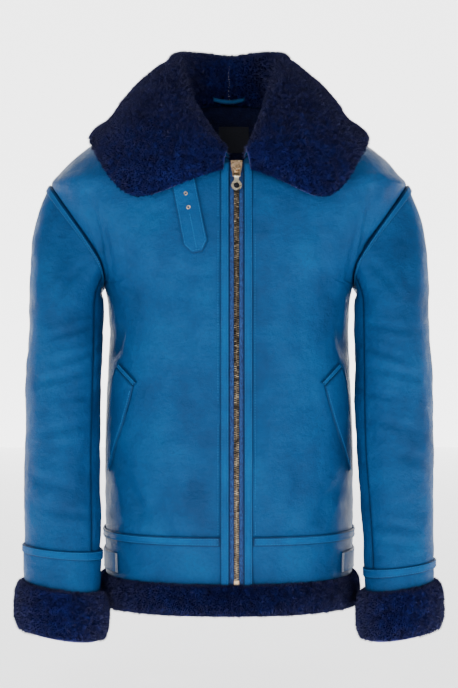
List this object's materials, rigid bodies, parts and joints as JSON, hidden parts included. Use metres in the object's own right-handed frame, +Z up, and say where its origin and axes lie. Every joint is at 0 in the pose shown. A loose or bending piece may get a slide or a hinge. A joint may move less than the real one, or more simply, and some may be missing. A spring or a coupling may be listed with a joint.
{
  "type": "sheepskin flying jacket",
  "caption": "Hollow worn-form jacket of blue leather sheepskin with turned wool collar, cuffs and hem, front zip, slanted pockets and a throat strap",
  "frame": {"origin": "On the wearer's middle plane, midway between the two points where the shoulder seams meet the neck", "axes": "+Z up, the front faces -Y, +X is the wearer's left"},
  "size_m": [0.5768, 0.2946, 0.8175],
  "materials": {
    "blue_leather": "smooth blue leather face, half gloss",
    "navy_wool": "clipped navy sheep's wool",
    "zip_tape": "woven blue tape",
    "zip_metal": "pale antique brass",
    "dark_disc": "dark enamel",
    "label_cloth": "plain woven label"
  },
  "bodies": {
    "jacket": {"front_right": "blue_leather", "front_left": "blue_leather", "back": "blue_leather", "waistband_right": "blue_leather", "waistband_left": "blue_leather", "waistband_back": "blue_leather", "waist_strip_right": "blue_leather", "waist_strip_left": "blue_leather", "waist_strip_back": "blue_leather", "front_strip_right": "blue_leather", "front_strip_left": "blue_leather", "sleeve_top_right": "blue_leather", "sleeve_top_left": "blue_leather", "sleeve_under_right": "blue_leather", "sleeve_under_left": "blue_leather", "armhole_strip_right": "blue_leather", "armhole_strip_left": "blue_leather", "cuff_band_right": "blue_leather", "cuff_band_left": "blue_leather", "cuff_strip_right": "blue_leather", "cuff_strip_left": "blue_leather", "pocket_patch_right": "blue_leather", "pocket_patch_left": "blue_leather", "pocket_welt_right": "blue_leather", "pocket_welt_left": "blue_leather", "side_tab_right": "blue_leather", "side_tab_left": "blue_leather", "collar_strap": "blue_leather", "hang_loop": "blue_leather", "collar_right": "navy_wool", "collar_left": "navy_wool", "fur_cuff_right": "navy_wool", "fur_cuff_left": "navy_wool", "fur_hem_right": "navy_wool", "fur_hem_left": "navy_wool", "fur_hem_back": "navy_wool", "zip_tape_right": "zip_tape", "zip_tape_left": "zip_tape", "zip_chain": "zip_metal", "zip_box": "zip_metal", "zip_slider": "zip_metal", "strap_eyelet_1": "zip_metal", "strap_eyelet_2": "zip_metal", "neck_label": "label_cloth"},
    "zip_link": {"zip_link": "zip_metal"},
    "zip_pull": {"zip_pull": "zip_metal", "zip_pull_disc": "dark_disc"}
  },
  "joints": [
    {"name": "link_swing", "type": "hinge", "parent": "jacket", "child": "zip_link", "pos_m": [0.01, -0.12847, -0.09409], "axis": [-1, 0, 0], "range_deg": [0, 120]},
    {"name": "pull_swing", "type": "hinge", "parent": "zip_link", "child": "zip_pull", "pos_m": [0.01, -0.13258, -0.10483], "axis": [-1, 0, 0], "range_deg": [0, 90]}
  ]
}
